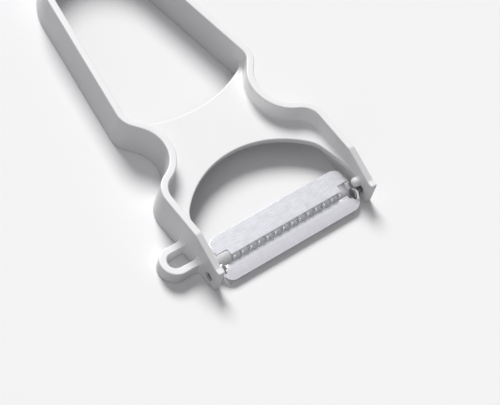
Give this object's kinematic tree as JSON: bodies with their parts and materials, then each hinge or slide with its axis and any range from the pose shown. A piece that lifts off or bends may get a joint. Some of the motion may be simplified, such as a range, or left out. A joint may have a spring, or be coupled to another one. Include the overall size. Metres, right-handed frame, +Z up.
{
  "type": "julienne peeler",
  "caption": "Y-shaped julienne peeler: a white loop handle with arms, a swivelling steel blade with comb teeth between them, and an eye-remover loop on one arm.",
  "frame": {"origin": "middle of the object's box, at the height of the edges it rests on", "axes": "+Y from the blade to the handle's end, +X to the right arm, +Z up from the resting edges"},
  "size_m": [0.0822, 0.1352, 0.0147],
  "materials": {
    "white_plastic": "smooth moulded, semi-gloss white",
    "blade_steel": "fine satin stainless",
    "comb_steel": "ground stainless",
    "pin_steel": "turned stainless"
  },
  "bodies": {
    "frame": {"frame": "white_plastic"},
    "blade": {"blade_body": "blade_steel", "julienne_comb": "comb_steel", "pivot_pin_left": "pin_steel", "pivot_pin_right": "pin_steel"}
  },
  "joints": [
    {"name": "blade_swivel", "type": "hinge", "parent": "frame", "child": "blade", "pos_m": [0.00615, -0.0622, 0.00335], "axis": [1, 0, 0], "range_deg": [-15, 15]}
  ]
}
